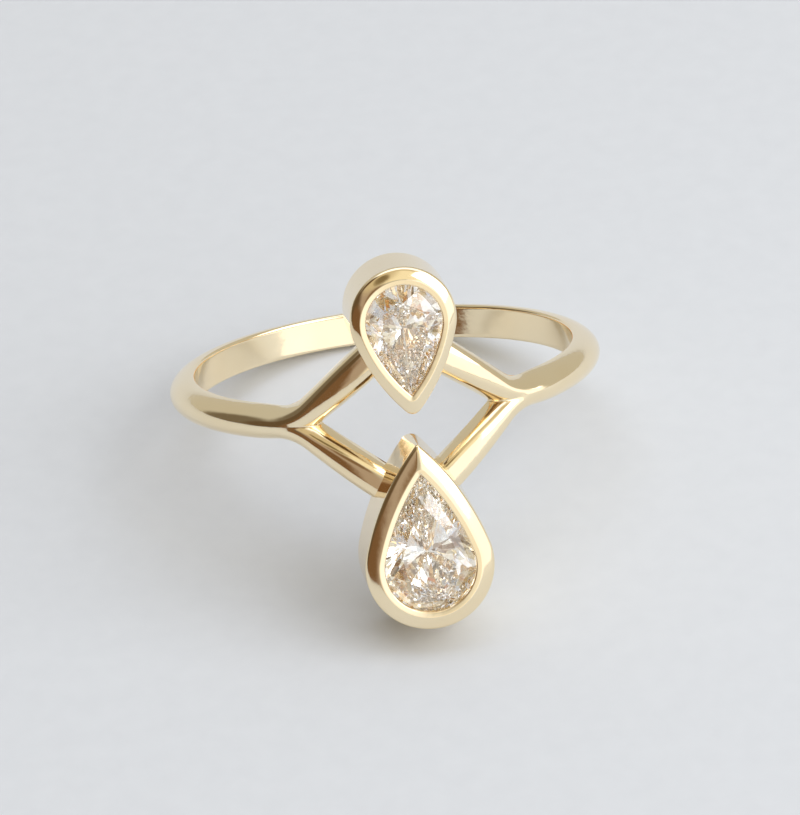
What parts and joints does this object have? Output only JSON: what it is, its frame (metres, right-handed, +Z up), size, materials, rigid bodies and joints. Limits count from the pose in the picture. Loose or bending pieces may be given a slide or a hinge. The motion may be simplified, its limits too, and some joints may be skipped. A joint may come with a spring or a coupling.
{
  "type": "two-stone engagement ring",
  "caption": "Gold finger ring whose band forks into an open diamond shape, with pear diamonds in bezels set tip to tip along the finger.",
  "frame": {"origin": "centre of the finger hole, in the middle of the band's width", "axes": "Z up, with the ring leaning back as it rests on a table; head towards -Y; X across the head from side to side, which is the ring's mirror direction"},
  "size_m": [0.0188, 0.0224, 0.0155],
  "materials": {
    "gold": "polished 14 carat yellow gold",
    "diamond": "cut and polished diamond"
  },
  "bodies": {
    "root": {"ring_body": "gold", "upper_diamond": "diamond", "lower_diamond": "diamond"}
  },
  "joints": []
}
